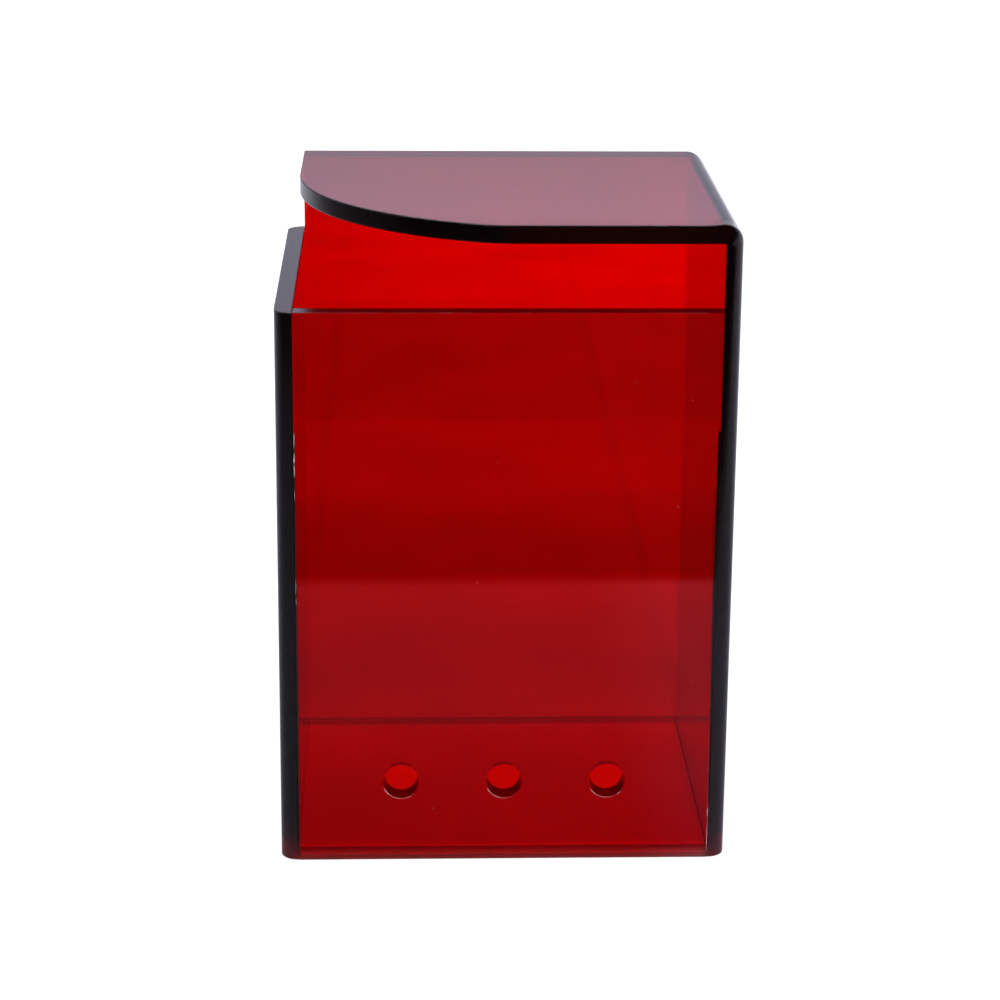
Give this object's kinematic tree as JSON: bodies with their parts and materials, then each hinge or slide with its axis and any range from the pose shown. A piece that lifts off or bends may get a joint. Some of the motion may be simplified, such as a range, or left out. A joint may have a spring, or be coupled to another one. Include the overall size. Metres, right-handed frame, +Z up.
{
  "type": "card deck box",
  "caption": "Upright transparent red acrylic holder for a pile of playing cards, open above its front panel and left wall, with a bent side-and-top sheet.",
  "frame": {"origin": "centre of the footprint, on the surface the holder stands on", "axes": "+Z up, +Y towards the back, away from the low front panel, +X towards the tall side wall"},
  "size_m": [0.1, 0.082, 0.146],
  "materials": {
    "red_acrylic": "polished transparent sheet",
    "red_acrylic_base": "polished transparent sheet"
  },
  "bodies": {
    "root": {"left_wall": "red_acrylic", "right_wall_and_top": "red_acrylic", "front_panel": "red_acrylic", "back_panel": "red_acrylic", "base_plate": "red_acrylic_base"}
  },
  "joints": []
}
